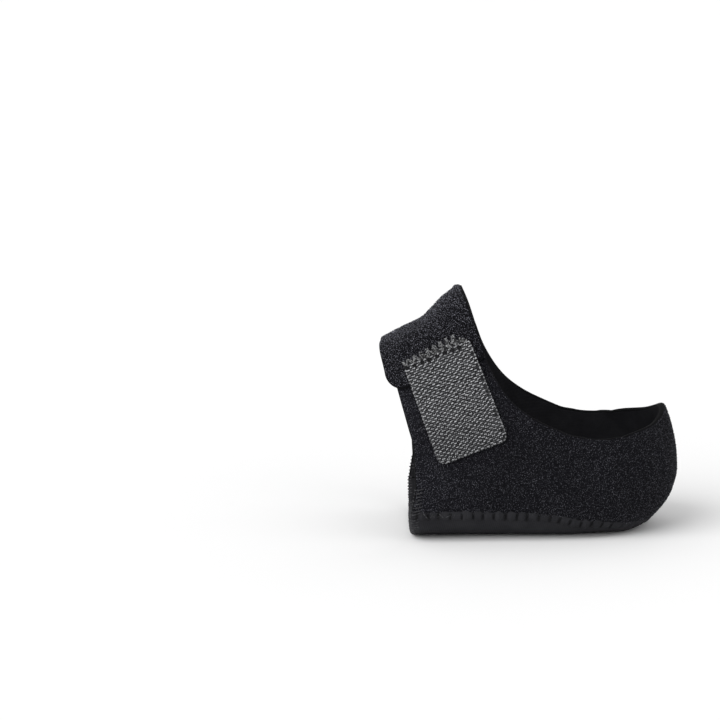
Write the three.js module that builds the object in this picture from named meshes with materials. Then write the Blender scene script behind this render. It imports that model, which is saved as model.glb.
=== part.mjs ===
// Heel wrap with an instep strap: a loop-faced cloth cup with a wing on each side, a padded smooth sole
// sewn into its underside, and a strap that leaves the inner wing, crosses over the top and grips the
// outer wing with a patch of hook tape.
// Millimetres, +Z up. The open front faces -X and the outer side, with the patch, faces -Y.
// The origin is on the floor, under the middle of the sole.
import * as THREE from "three";
import { mergeVertices } from "three/addons/utils/BufferGeometryUtils.js";

// Cloth and tape
const CLOTH = 2.6; // thickness of the loop-faced wrap cloth
const SOLE_PAD = 2.6; // padding that the sole has over the cloth's thickness
const TAPE = 1.4; // thickness of the hook tape patch
const GAP = 0.3; // clearance between pieces that lie on or against each other
const STRAP_END = 1.5; // thickness of the strap's end, pressed flat by its stitching

// Profile of the sole and of the back of the heel, seen from the side
const FLOOR_END = 38; // where the flat sole turns up into the heel
const HEEL_REACH = 23; // from there to the rearmost point of the heel
const HEEL_BELOW = 26; // height of that point over the sole line
const HEEL_ABOVE = 40; // height over it at which the curve of the back would close
const HEEL_ROUND = 0.95; // exponent of the turn below that point, under 1 so that it rises sooner
const FLATTENED = 0.8; // how far the resting weight flattens the rounded underside
const FRONT_RUN = -48.4; // front edge of the sole
const RIM_RUN = 90.2; // rim of the cup at the back of the heel

// Cross-sections of the form that the wrap follows. Each runs from the sole line, at the length run along
// it from the origin, up to a point on the ridge under the strap. It is lateral wide on its outer side and
// medial wide on its inner side, at the share belly of its height. square is the exponent of its
// underside: 2 is round, more is boxier.
const SECTIONS = [
  { run: -75, topX: -84, topZ: 60, lateral: 37, medial: 35.5, belly: 0.3, square: 3.2 },
  { run: -45, topX: -62.5, topZ: 75.3, lateral: 36, medial: 34.5, belly: 0.3, square: 3.2 },
  { run: -12, topX: -38, topZ: 91.2, lateral: 35, medial: 33, belly: 0.3, square: 3.3 },
  { run: 16, topX: -16, topZ: 103, lateral: 33.7, medial: 32, belly: 0.32, square: 3.7 },
  { run: 36, topX: 1, topZ: 84, lateral: 32.5, medial: 31.5, belly: 0.42, square: 3.1 },
  { run: 53, topX: 8, topZ: 68, lateral: 31.5, medial: 31, belly: 0.53, square: 2.2 },
  { run: 68, topX: 11, topZ: 62, lateral: 30, medial: 30, belly: 0.57, square: 2.2 },
  { run: 78, topX: 12, topZ: 60, lateral: 28, medial: 28, belly: 0.63, square: 2.1 },
  { run: 86, topX: 12, topZ: 60, lateral: 25.5, medial: 25.5, belly: 0.7, square: 2 },
  { run: 96, topX: 12, topZ: 62, lateral: 23, medial: 23, belly: 0.75, square: 2 },
];
const SECTION_SIZES = ["topX", "topZ", "lateral", "medial", "belly", "square"];
const GIRTH = 30; // usual millimetres round a section for each radian

// Edges of the pieces, seen from the side
const SEAM = [
  { x: 41.4, z: 4.9 },
  { x: 30.2, z: 6.1 },
  { x: 19.5, z: 7.1 },
  { x: 8, z: 10 },
  { x: -12.2, z: 11.2 },
  { x: -48.2, z: 11.6 },
];
const SEAM_BACK_RUN = 52.5; // where the seam crosses under the back of the heel
const COLLAR = [
  { x: 49, z: 45.7 },
  { x: 40.2, z: 43.6 },
  { x: 34.5, z: 42.5 },
  { x: 28.7, z: 41.9 },
  { x: 21.4, z: 42.6 },
  { x: 14.2, z: 44.2 },
  { x: -0.2, z: 51.1 },
  { x: -9.8, z: 59 },
  { x: -16.9, z: 70.2 },
  { x: -21.5, z: 82.1 },
];
const FRONT_EDGE = [
  { x: -48.2, z: 11.6 },
  { x: -47, z: 30.3 },
  { x: -47.2, z: 38 },
  { x: -50, z: 48.2 },
  { x: -53.5, z: 59.8 },
  { x: -57.2, z: 72 },
];
const STRAP = {
  length: 56, // along its middle, from the inner wing to its end
  width: 42,
  ridgeFrontX: -59.5, // where its front and rear edges cross the ridge
  ridgeRearX: -28.4,
  endFront: { x: -57.4, z: 61 },
  endRear: { x: -18, z: 74 },
  frontCorner: 8, // corner radii of its end
  rearCorner: 2.5,
  pressedFrom: 0.68, // shares of its length between which it thins towards its end
  pressedTo: 0.84,
  liftFrom: 0.1, // shares of the way from the ridge to the outer wing's top, where it rises onto the wing
  liftTo: 0.85,
  waveFrom: 0.3, // shares of the way from the ridge to a wing's top, over which its wave fades out
  waveTo: 0.8,
};
// How far the strap stands off the form on the ridge, at shares of its width from its rear edge
const STRAP_WAVE = [
  { across: 0, lift: 0.6 },
  { across: 0.1, lift: 1.4 },
  { across: 0.24, lift: 1.4 },
  { across: 0.37, lift: 0 },
  { across: 0.5, lift: -1.2 },
  { across: 0.7, lift: -0.4 },
  { across: 1, lift: 0.8 },
];
const COVER = {
  columnLength: 45, // usual length of a column of the grid, from the seam to the upper edge
  leanFrom: 0.62, // share of a side from which the columns lean to follow the front edge
};
const SOLE = {
  columnLength: 30,
  poleRun: 20, // the columns of the rounded heel end meet here on the middle line
  leanFrom: 0.85, // share of a side from which the columns lean to follow the front edge
  frontBow: 0.9, // how far the front edge bows forwards, to look straight from the side
  padFade: 18, // the padding fades in over this length behind the front edge
  padPower: 4, // the higher, the closer to the seam the padding stays full
};
const PATCH = {
  length: 46,
  width: 31,
  topFront: { x: -50.9, z: 69.8 },
  topRear: { x: -24.8, z: 81.2 },
  endFront: { x: -37.1, z: 31.9 },
  endRear: { x: -9.5, z: 42.3 },
  corner: 4.2,
  sewnShare: 0.24, // share of its length that lies on the strap
  settledShare: 0.44, // share of its length by which it has come down onto the wing
};

// Grid counts of the pieces
const COLLAR_COLUMNS = 26; // columns of a side of the cup that end on the collar
const WING_COLUMNS = 10; // columns of a side of the cup that end on the wing's top edge
const SIDE_COLUMNS = COLLAR_COLUMNS + WING_COLUMNS;
const WING_START = COLLAR_COLUMNS / SIDE_COLUMNS;
const COVER_ROWS = 12;
const SOLE_ROWS = 7;
const STRAP_ROWS = 22;
const PATCH_ROWS = 14;
const PATCH_COLUMNS = 8;
const CORNER_ROWS = 4;

const { lerp, smoothstep, clamp } = THREE.MathUtils;

// The form

function soleLine(run) {
  const turn = Math.max(0, (run - FLOOR_END) / HEEL_REACH);
  const below = HEEL_BELOW * Math.min(1, 1 - Math.cos(turn)) ** HEEL_ROUND;
  const above = HEEL_ABOVE * Math.max(0, -Math.cos(turn));
  return {
    x: Math.min(run, FLOOR_END) + HEEL_REACH * Math.sin(turn),
    z: below + above - FLATTENED,
  };
}

const sectionBlend = new THREE.CubicInterpolant(
  SECTIONS.map((row) => row.run),
  SECTIONS.flatMap((row) => SECTION_SIZES.map((size) => row[size])),
  SECTION_SIZES.length,
  new Float64Array(SECTION_SIZES.length),
);

function sectionAt(run) {
  const sizes = sectionBlend.evaluate(run);
  return Object.fromEntries(SECTION_SIZES.map((size, i) => [size, sizes[i]]));
}

// A point of the form: the angle goes round the section from 0 at the sole to PI at the ridge,
// negative on the outer side and positive on the inner side.
function formPoint(run, angle) {
  const section = sectionAt(run);
  const sole = soleLine(run);
  const signed = angle > Math.PI ? angle - 2 * Math.PI : angle;
  const reach = Math.abs(signed);
  const lower = reach < Math.PI / 2;
  const power = lower ? section.square : 2;
  const upright = Math.abs(Math.cos(reach));
  const across = Math.sin(reach);
  const scale = (upright ** power + across ** power) ** (-1 / power);
  const share = lower
    ? section.belly * (1 - upright * scale)
    : section.belly + (1 - section.belly) * upright * scale;
  const halfWidth = signed < 0 ? -section.lateral : section.medial;
  return new THREE.Vector3(
    lerp(sole.x, section.topX, share),
    halfWidth * across * scale,
    Math.max(0, lerp(sole.z, section.topZ, share)),
  );
}

// The same point moved outwards along the form's normal.
function layerPoint(run, angle, offset) {
  const step = 0.02; // radians
  const point = formPoint(run, angle);
  const along = formPoint(run + step * GIRTH, angle).sub(formPoint(run - step * GIRTH, angle));
  const round = formPoint(run, angle + step).sub(formPoint(run, angle - step));
  const outward = round.cross(along).normalize();
  return point.addScaledVector(outward, offset);
}

function solve(low, high, isBelow) {
  const halvings = 50;
  for (let i = 0; i < halvings; i += 1) {
    const middle = (low + high) / 2;
    if (isBelow(middle)) low = middle;
    else high = middle;
  }
  return (low + high) / 2;
}

// Where a point of the side view lies on the form: the run of its section and the angle round it.
function placeOnForm({ x, z }) {
  const first = SECTIONS[0].run;
  const last = SECTIONS[SECTIONS.length - 1].run;
  const run = solve(first, last, (trial) => {
    const { topX, topZ } = sectionAt(trial);
    const sole = soleLine(trial);
    return (topX - sole.x) * (z - sole.z) - (topZ - sole.z) * (x - sole.x) < 0;
  });
  const { topX, topZ, belly, square } = sectionAt(run);
  const sole = soleLine(run);
  const share = Math.hypot(x - sole.x, z - sole.z) / Math.hypot(topX - sole.x, topZ - sole.z);
  const lower = share < belly;
  const power = lower ? square : 2;
  const upright = clamp(lower ? 1 - share / belly : (share - belly) / (1 - belly), 0, 1);
  const across = (1 - upright ** power) ** (1 / power);
  const reach = Math.atan2(across, upright);
  return { run, angle: lower ? reach : Math.PI - reach };
}

// Where the ridge passes a distance along the wrap.
function ridgeAt(x) {
  const first = SECTIONS[0].run;
  const last = SECTIONS[SECTIONS.length - 1].run;
  return { run: solve(first, last, (trial) => sectionAt(trial).topX < x), angle: Math.PI };
}

function mix(a, b, share) {
  return { run: lerp(a.run, b.run, share), angle: lerp(a.angle, b.angle, share) };
}

// A smooth line through places on the form, read at a share of its length.
function lineOnForm(places) {
  const points = places.map((place) => new THREE.Vector3(place.run, place.angle * GIRTH, 0));
  const curve = new THREE.CatmullRomCurve3(points);
  return (share) => {
    const point = curve.getPointAt(clamp(share, 0, 1));
    return { run: point.x, angle: point.y / GIRTH };
  };
}

// A line that crosses the middle at the back of the heel, with its two sides alike. It is read from
// the back, at share 0, to its front end.
function lineRoundHeel(backRun, places) {
  const back = { run: backRun, angle: 0 };
  const mirrored = places.map((place) => ({ run: place.run, angle: -place.angle })).reverse();
  const whole = lineOnForm([...mirrored, back, ...places]);
  return (share) => whole(0.5 + share / 2);
}

// Closed walls

// Joins a grid of places, each with an outer and an inner point, into a closed wall.
function wallGeometry(grid) {
  const rows = grid.length;
  const columns = grid[0].length;
  const corners = grid.flat().flatMap((place) => [place.outer, place.inner]);
  const outer = (i, j) => 2 * (i * columns + j);
  const inner = (i, j) => outer(i, j) + 1;
  const triangles = [];
  const quad = (a, b, c, d) => triangles.push(a, b, c, a, c, d);
  for (let i = 0; i < rows - 1; i += 1) {
    for (let j = 0; j < columns - 1; j += 1) {
      quad(outer(i, j), outer(i, j + 1), outer(i + 1, j + 1), outer(i + 1, j));
      quad(inner(i, j), inner(i + 1, j), inner(i + 1, j + 1), inner(i, j + 1));
    }
  }
  for (let i = 0; i < rows - 1; i += 1) {
    const end = columns - 1;
    quad(outer(i, 0), outer(i + 1, 0), inner(i + 1, 0), inner(i, 0));
    quad(outer(i + 1, end), outer(i, end), inner(i, end), inner(i + 1, end));
  }
  for (let j = 0; j < columns - 1; j += 1) {
    const end = rows - 1;
    quad(outer(0, j + 1), outer(0, j), inner(0, j), inner(0, j + 1));
    quad(outer(end, j), outer(end, j + 1), inner(end, j + 1), inner(end, j));
  }
  const geometry = new THREE.BufferGeometry().setFromPoints(corners);
  geometry.setIndex(triangles);
  return withoutCollapsed(mergeVertices(geometry));
}

// Drops triangles that have lost a side, and pairs that have closed up flat against each other.
function withoutCollapsed(geometry) {
  const index = geometry.getIndex().array;
  const kept = new Map();
  for (let i = 0; i < index.length; i += 3) {
    const triangle = [index[i], index[i + 1], index[i + 2]];
    if (new Set(triangle).size < 3) continue;
    const key = [...triangle].sort((a, b) => a - b).join(" ");
    if (kept.has(key)) kept.delete(key);
    else kept.set(key, triangle);
  }
  geometry.setIndex([...kept.values()].flat());
  geometry.computeVertexNormals();
  return geometry;
}

// A place of the wall, between two offsets from the form.
function wallPlace({ run, angle }, outside, inside) {
  return { outer: layerPoint(run, angle, outside), inner: layerPoint(run, angle, inside) };
}

// Shares 0 to 1 in even steps.
function evenShares(count) {
  return Array.from({ length: count + 1 }, (_, i) => i / count);
}

// Shares of a strip's length for its rows, closer together where the far end's corners are round.
function stripShares(length, radius, count) {
  const straight = 1 - radius / length;
  const rows = evenShares(count).map((share) => share * straight);
  const turns = evenShares(CORNER_ROWS).slice(1);
  const cornerRows = turns.map((turn) => straight + (radius / length) * Math.sin((turn * Math.PI) / 2));
  return [...rows, ...cornerRows];
}

// How far a round corner cuts into a strip's edge, at a distance from the strip's far end.
function cornerInset(distance, radius) {
  const reach = Math.max(0, radius - distance);
  return radius - Math.sqrt(radius ** 2 - reach ** 2);
}

// Pieces

const seam = lineRoundHeel(SEAM_BACK_RUN, SEAM.map(placeOnForm));
const collar = lineRoundHeel(RIM_RUN, COLLAR.map(placeOnForm));
const frontEdge = lineOnForm(FRONT_EDGE.map(placeOnForm));
const wingRear = placeOnForm(COLLAR[COLLAR.length - 1]);
const wingFront = placeOnForm(FRONT_EDGE[FRONT_EDGE.length - 1]);

// The upper edge of the cup: the collar, then the wing's top edge.
function topEdge(share) {
  if (share <= WING_START) return collar(share / WING_START);
  return mix(wingRear, wingFront, (share - WING_START) / (1 - WING_START));
}

// A place on the cup, from the back of the heel to its front edge and from the seam to its upper edge.
function coverPlace(share, height) {
  const lean = smoothstep(share, COVER.leanFrom, 1);
  const plain = mix(seam(share), topEdge(share), height);
  const frontPlain = mix(seam(1), topEdge(1), height);
  const front = frontEdge(height);
  return {
    run: plain.run + lean * (front.run - frontPlain.run),
    angle: plain.angle + lean * (front.angle - frontPlain.angle),
  };
}

// Columns from the front edge of the outer side, round the heel, to the front edge of the inner side.
function sideColumns() {
  const side = evenShares(SIDE_COLUMNS);
  const outerSide = side.map((share) => ({ share, sign: -1 })).reverse();
  const innerSide = side.slice(1).map((share) => ({ share, sign: 1 }));
  return [...outerSide, ...innerSide];
}

function heelCover() {
  const seamGap = GAP / 2 / COVER.columnLength;
  const heights = evenShares(COVER_ROWS).map((height) => lerp(seamGap, 1, height));
  const grid = heights.map((height) =>
    sideColumns().map(({ share, sign }) => {
      const place = coverPlace(share, height);
      return wallPlace({ run: place.run, angle: sign * place.angle }, 0, -CLOTH);
    }),
  );
  return wallGeometry(grid);
}

function solePad() {
  const seamGap = GAP / 2 / SOLE.columnLength;
  const grid = evenShares(SOLE_ROWS).map((step) =>
    sideColumns().map(({ share, sign }) => {
      const edge = seam(share);
      const lean = smoothstep(share, SOLE.leanFrom, 1);
      const middle = { run: lerp(Math.min(edge.run, SOLE.poleRun), FRONT_RUN, lean), angle: 0 };
      const place = mix(middle, edge, step * (1 - seamGap));
      place.run -= SOLE.frontBow * lean * Math.sin(Math.PI * step);
      const fromFront = smoothstep(place.run, FRONT_RUN, FRONT_RUN + SOLE.padFade);
      const padding = SOLE_PAD * fromFront * (1 - step ** SOLE.padPower);
      return wallPlace({ run: place.run, angle: sign * place.angle }, 0, -CLOTH - padding);
    }),
  );
  return wallGeometry(grid);
}

const waveBlend = new THREE.CubicInterpolant(
  STRAP_WAVE.map((row) => row.across),
  STRAP_WAVE.map((row) => row.lift),
  1,
  new Float64Array(1),
);

// The strap runs from the top of the inner wing, over the ridge, to its end on the outer wing.
function instepStrap() {
  const acrossTop = (place) => ({ run: place.run, angle: 2 * Math.PI - place.angle });
  const endFront = acrossTop(placeOnForm(STRAP.endFront));
  const endRear = acrossTop(placeOnForm(STRAP.endRear));
  const frontLine = lineOnForm([wingFront, ridgeAt(STRAP.ridgeFrontX), endFront]);
  const rearLine = lineOnForm([wingRear, ridgeAt(STRAP.ridgeRearX), endRear]);
  const rootGap = GAP / STRAP.length;
  const grid = stripShares(STRAP.length, STRAP.frontCorner, STRAP_ROWS).map((share) => {
    const along = lerp(rootGap, 1, share);
    const left = STRAP.length * (1 - share);
    const rear = cornerInset(left, STRAP.rearCorner) / STRAP.width;
    const front = 1 - cornerInset(left, STRAP.frontCorner) / STRAP.width;
    const thickness = lerp(CLOTH, STRAP_END, smoothstep(share, STRAP.pressedFrom, STRAP.pressedTo));
    return evenShares(WING_COLUMNS).map((step) => {
      const across = lerp(rear, front, step);
      const place = mix(rearLine(along), frontLine(along), across);
      const wingTop = lerp(wingRear.angle, wingFront.angle, across);
      const towardsWing = (place.angle - Math.PI) / (Math.PI - wingTop);
      const onRidge = 1 - smoothstep(Math.abs(towardsWing), STRAP.waveFrom, STRAP.waveTo);
      const wave = waveBlend.evaluate(across)[0] * onRidge;
      const lift = wave + lerp(-CLOTH, GAP, smoothstep(towardsWing, STRAP.liftFrom, STRAP.liftTo));
      return wallPlace(place, lift + thickness, lift);
    });
  });
  return wallGeometry(grid);
}

// The patch hangs from the strap's end, which it overlaps, and grips the wing below.
function hookPatch() {
  const onStrap = GAP + STRAP_END + GAP;
  const grid = stripShares(PATCH.length, PATCH.corner, PATCH_ROWS).map((share) => {
    const inset = cornerInset(PATCH.length * (1 - share), PATCH.corner) / PATCH.width;
    const lift = lerp(onStrap, GAP, smoothstep(share, PATCH.sewnShare, PATCH.settledShare));
    return evenShares(PATCH_COLUMNS).map((step) => {
      const across = lerp(inset, 1 - inset, step);
      const side = (axis) => {
        const top = lerp(PATCH.topRear[axis], PATCH.topFront[axis], across);
        const end = lerp(PATCH.endRear[axis], PATCH.endFront[axis], across);
        return lerp(top, end, share);
      };
      const place = placeOnForm({ x: side("x"), z: side("z") });
      return wallPlace({ run: place.run, angle: -place.angle }, lift + TAPE, lift);
    });
  });
  return wallGeometry(grid);
}

function cloth(color, roughness) {
  return new THREE.MeshStandardMaterial({ color, roughness, metalness: 0 });
}

function piece(name, geometry, material) {
  const mesh = new THREE.Mesh(geometry, material);
  mesh.name = name;
  return mesh;
}

const heelWrap = new THREE.Group();
heelWrap.add(
  piece("heel_cover", heelCover(), cloth(0x17171a, 0.95)),
  piece("sole_pad", solePad(), cloth(0x1b1b1d, 0.8)),
  piece("instep_strap", instepStrap(), cloth(0x18181b, 0.95)),
  piece("hook_patch", hookPatch(), cloth(0x4a4b4e, 0.85)),
);

export default heelWrap;
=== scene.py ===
import math

import bmesh
import bpy
import numpy as np
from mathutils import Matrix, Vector


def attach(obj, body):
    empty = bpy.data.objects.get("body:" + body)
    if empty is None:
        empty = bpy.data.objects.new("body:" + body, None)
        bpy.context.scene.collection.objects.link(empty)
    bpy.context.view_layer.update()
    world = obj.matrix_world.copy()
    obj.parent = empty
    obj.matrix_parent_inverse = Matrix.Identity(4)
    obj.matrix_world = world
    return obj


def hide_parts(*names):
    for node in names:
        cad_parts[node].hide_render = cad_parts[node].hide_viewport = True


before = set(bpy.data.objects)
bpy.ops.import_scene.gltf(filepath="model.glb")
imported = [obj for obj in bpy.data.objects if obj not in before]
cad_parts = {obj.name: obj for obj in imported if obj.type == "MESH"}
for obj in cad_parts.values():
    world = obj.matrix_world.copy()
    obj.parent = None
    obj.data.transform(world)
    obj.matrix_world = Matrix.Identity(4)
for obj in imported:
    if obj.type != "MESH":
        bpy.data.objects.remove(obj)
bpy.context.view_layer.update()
print("frame loaded:", ", ".join(sorted(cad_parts)))

mm = 0.001  # sizes below are in millimetres, meshes are made in metres


# The form that every piece follows, with the sizes of the solids
form = {
    "floorEnd": 38.0,  # where the flat sole turns up into the heel
    "heelReach": 23.0,
    "heelBelow": 26.0,
    "heelAbove": 40.0,
    "heelRound": 0.95,  # below 1 lifts the start of the turn
    "flattened": 0.8,  # how far the rounded underside is pressed flat
    "restSoftness": 0.3,  # rounds the edge of the flattened part
    "girth": 30.0,  # usual millimetres round a section for each radian
    "normalStep": 0.02,
    "halvings": 50,  # steps of a search by halves
    "lineSteps": 80,  # points between two places of a line
}
# columns: run along the sole, ridge x, ridge z, outer half width, inner half width,
# widest share of the height, exponent of the underside
sections = np.array([
    (-75, -84, 60, 37, 35.5, 0.30, 3.2),
    (-45, -62.5, 75.3, 36, 34.5, 0.30, 3.2),
    (-12, -38, 91.2, 35, 33, 0.30, 3.3),
    (16, -16, 103, 33.7, 32, 0.32, 3.7),
    (36, 1, 84, 32.5, 31.5, 0.42, 3.1),
    (53, 8, 68, 31.5, 31, 0.53, 2.2),
    (68, 11, 62, 30, 30, 0.57, 2.2),
    (78, 12, 60, 28, 28, 0.63, 2.1),
    (86, 12, 60, 25.5, 25.5, 0.70, 2),
    (96, 12, 62, 23, 23, 0.75, 2),
])


def smoothStep(value, low, high):
    t = np.clip((value - low) / (high - low), 0, 1)
    return t * t * (3 - 2 * t)


def lerp(a, b, share):
    return a + (b - a) * share


# a smooth curve between two values, with the slopes that it has there
def bend(start, end, startSlope, endSlope, step, t):
    between = start * (1 + 2 * t) * (1 - t) ** 2 + end * t * t * (3 - 2 * t)
    return between + step * (startSlope * t * (1 - t) ** 2 - endSlope * t * t * (1 - t))


def unit(vectors):
    return vectors / np.maximum(np.linalg.norm(vectors, axis=-1, keepdims=True), 1e-9)


# lengths along a line of points, or along one axis of a grid of points
def lengthsAlong(points, axis=0):
    steps = np.linalg.norm(np.diff(points, axis=axis), axis=-1)
    start = np.zeros_like(np.take(steps, [0], axis=axis))
    return np.cumsum(np.concatenate([start, steps], axis=axis), axis=axis)


# columns of values along a line of points, read again at even steps of its length
def evenly(points, values, pitch):
    lengths = lengthsAlong(points)
    even = np.arange(0, lengths[-1], pitch)
    return np.stack([np.interp(even, lengths, column) for column in values.T], axis=-1)


def soleLine(run):
    turn = np.maximum(0, (run - form["floorEnd"]) / form["heelReach"])
    x = np.minimum(run, form["floorEnd"]) + form["heelReach"] * np.sin(turn)
    below = form["heelBelow"] * np.clip(1 - np.cos(turn), 0, 1) ** form["heelRound"]
    above = form["heelAbove"] * np.maximum(0, -np.cos(turn))
    return x, below + above - form["flattened"]


# reads a table's columns smoothly between its rows, by the value of its first column
def readTable(table, value):
    keys, sizes = table[:, 0], table[:, 1:]
    steps = np.diff(keys)[:, None]
    secants = np.diff(sizes, axis=0) / steps
    slopes = np.vstack([secants[:1], (secants[:-1] + secants[1:]) / 2, secants[-1:]])
    value = np.clip(value, keys[0], keys[-1])
    i = np.clip(np.searchsorted(keys, value, side="right") - 1, 0, len(keys) - 2)
    t = (value - keys[i])[..., None] / steps[i]
    columns = bend(sizes[i], sizes[i + 1], slopes[i], slopes[i + 1], steps[i], t)
    return np.moveaxis(columns, -1, 0)


def sectionAt(run):
    return readTable(sections, run)


# angle goes round a section from 0 at the sole to pi at the ridge, negative on the outer side
def formPoint(run, angle):
    topX, topZ, outerHalf, innerHalf, belly, square = sectionAt(run)
    soleX, soleZ = soleLine(run)
    signed = np.where(angle > math.pi, angle - 2 * math.pi, angle)
    reach = np.abs(signed)
    lower = reach < math.pi / 2
    power = np.where(lower, square, 2.0)
    upright = np.abs(np.cos(reach))
    across = np.abs(np.sin(reach))
    scale = (upright ** power + across ** power) ** (-1 / power)
    share = np.where(lower, belly * (1 - upright * scale), belly + (1 - belly) * upright * scale)
    half = np.where(signed < 0, -outerHalf, innerHalf)
    z = lerp(soleZ, topZ, share)
    resting = (z + np.sqrt(z * z + form["restSoftness"] ** 2)) / 2
    return np.stack([lerp(soleX, topX, share), half * across * scale, resting], axis=-1)


# a place on the form is a run and an angle
def outwardAt(place):
    run, angle = place[..., 0], place[..., 1]
    turn = form["normalStep"]
    walk = turn * form["girth"]
    along = formPoint(run + walk, angle) - formPoint(run - walk, angle)
    around = formPoint(run, angle + turn) - formPoint(run, angle - turn)
    return unit(np.cross(around, along))


def layerPoint(place, offset):
    return formPoint(place[..., 0], place[..., 1]) + outwardAt(place) * np.asarray(offset)[..., None]


# a place given for the inner side, moved to the side that the sign of side tells
def onSide(place, side):
    return place * np.stack([np.ones_like(side), np.where(side < 0, -1, 1)], axis=-1)


def solve(low, high, isBelow):
    for _ in range(form["halvings"]):
        middle = (low + high) / 2
        below = isBelow(middle)
        low, high = np.where(below, middle, low), np.where(below, high, middle)
    return (low + high) / 2


# where points of the side view lie on the form
def placeOnForm(x, z):
    x, z = np.asarray(x, float), np.asarray(z, float)

    def isBelow(run):
        topX, topZ = sectionAt(run)[:2]
        soleX, soleZ = soleLine(run)
        return (topX - soleX) * (z - soleZ) - (topZ - soleZ) * (x - soleX) < 0

    run = solve(np.full(x.shape, sections[0, 0]), np.full(x.shape, sections[-1, 0]), isBelow)
    topX, topZ, _, _, belly, square = sectionAt(run)
    soleX, soleZ = soleLine(run)
    share = np.hypot(x - soleX, z - soleZ) / np.hypot(topX - soleX, topZ - soleZ)
    lower = share < belly
    power = np.where(lower, square, 2.0)
    upright = np.clip(np.where(lower, 1 - share / belly, (share - belly) / (1 - belly)), 0, 1)
    across = (1 - upright ** power) ** (1 / power)
    reach = np.arctan2(across, upright)
    return np.stack([run, np.where(lower, reach, math.pi - reach)], axis=-1)


def ridgeAt(x):
    low, high = np.array(sections[0, 0]), np.array(sections[-1, 0])
    return np.array([solve(low, high, lambda run: sectionAt(run)[0] < x), math.pi])


# a smooth line through places on the form, read at shares of its length
def lineOnForm(places):
    scale = np.array([1, form["girth"]])
    points = np.asarray(places) * scale
    ends = np.vstack([2 * points[0] - points[1], points, 2 * points[-1] - points[-2]])
    gaps = np.sqrt(np.linalg.norm(np.diff(ends, axis=0), axis=1))
    t = np.linspace(0, 1, form["lineSteps"], endpoint=False)[:, None]
    stretches = []
    for i in range(1, len(ends) - 2):
        before, start, end, after = ends[i - 1:i + 3]
        gapBefore, gap, gapAfter = gaps[i - 1:i + 2]
        straight = (end - start) / gap
        startPull = (start - before) / gapBefore - (end - before) / (gapBefore + gap) + straight
        endPull = straight - (after - start) / (gap + gapAfter) + (after - end) / gapAfter
        stretches.append(bend(start, end, startPull, endPull, gap, t))
    line = np.vstack([*stretches, points[-1:]])
    lengths = lengthsAlong(line)

    def read(share):
        along = np.clip(share, 0, 1) * lengths[-1]
        return np.stack([np.interp(along, lengths, line[:, k]) / scale[k] for k in (0, 1)], axis=-1)

    return read


def lineRoundHeel(backRun, places):
    mirrored = (places * (1, -1))[::-1]
    whole = lineOnForm(np.vstack([mirrored, [[backRun, 0]], places]))
    return lambda share: whole(0.5 + np.asarray(share) / 2)


# Edges of the pieces, seen from the side: x and z
seamEdge = np.array([(41.4, 4.9), (30.2, 6.1), (19.5, 7.1), (8, 10), (-12.2, 11.2), (-48.2, 11.6)])
collarEdge = np.array([
    (49, 45.7), (40.2, 43.6), (34.5, 42.5), (28.7, 41.9), (21.4, 42.6),
    (14.2, 44.2), (-0.2, 51.1), (-9.8, 59), (-16.9, 70.2), (-21.5, 82.1),
])
frontEdge = np.array([(-48.2, 11.6), (-47, 30.3), (-47.2, 38), (-50, 48.2), (-53.5, 59.8), (-57.2, 72)])
seamBackRun = 52.5
rimRun = 90.2

seamLine = lineRoundHeel(seamBackRun, placeOnForm(*seamEdge.T))
collarLine = lineRoundHeel(rimRun, placeOnForm(*collarEdge.T))
frontLine = lineOnForm(placeOnForm(*frontEdge.T))
wingRear = placeOnForm(*collarEdge[-1])
wingFront = placeOnForm(*frontEdge[-1])


# Meshes from grids of points

sheet = {
    "rimSteps": 5,  # rows of points over a rounded rim
    "edgeShare": 0.6,  # the part of a rounded rim that shows the cut edge, with painted shade on the cover and the strap
    "edgePower": 3,  # 2 is a round edge, more is squarer
    "uvUnit": 100.0,  # millimetres of cloth for one unit of a UV map
    "mergeWithin": 1e-6,  # metres
    "thinnest": 1e-7,
}


def linked(name, data):
    obj = bpy.data.objects.new(name, data)
    bpy.context.scene.collection.objects.link(obj)
    return obj


def newObject(name, points, faces, materials, uvs=None, faceMaterials=None):
    mesh = bpy.data.meshes.new(name)
    mesh.from_pydata((np.asarray(points) * mm).tolist(), [], [list(map(int, face)) for face in faces])
    for material in materials:
        mesh.materials.append(material)
    if faceMaterials is not None:
        mesh.polygons.foreach_set("material_index", np.asarray(faceMaterials, np.int32))
    mesh.polygons.foreach_set("use_smooth", np.ones(len(mesh.polygons), bool))
    if uvs is not None:
        corners = np.empty(len(mesh.loops), np.int32)
        mesh.loops.foreach_get("vertex_index", corners)
        layer = mesh.uv_layers.new(name="UVMap")
        layer.data.foreach_set("uv", np.asarray(uvs, np.float32)[corners].ravel())
    mesh.update()
    return linked(name, mesh)


def faceCount(*pieces):
    return sum(len(piece.data.polygons) for piece in pieces)


def gridIndex(rows, columns):
    return np.arange(rows * columns).reshape(rows, columns)


def gridFaces(index):
    quads = np.stack([index[:-1, :-1], index[:-1, 1:], index[1:, 1:], index[1:, :-1]], axis=-1)
    return quads.reshape(-1, 4)


# merges points that fell together and turns the faces outwards
def tidyMesh(obj):
    mesh = bmesh.new()
    mesh.from_mesh(obj.data)
    bmesh.ops.remove_doubles(mesh, verts=mesh.verts, dist=sheet["mergeWithin"])
    bmesh.ops.dissolve_degenerate(mesh, edges=mesh.edges, dist=sheet["thinnest"])
    if mesh.calc_volume(signed=True) < 0:
        bmesh.ops.reverse_faces(mesh, faces=mesh.faces)
    mesh.to_mesh(obj.data)
    mesh.free()
    return obj


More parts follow.
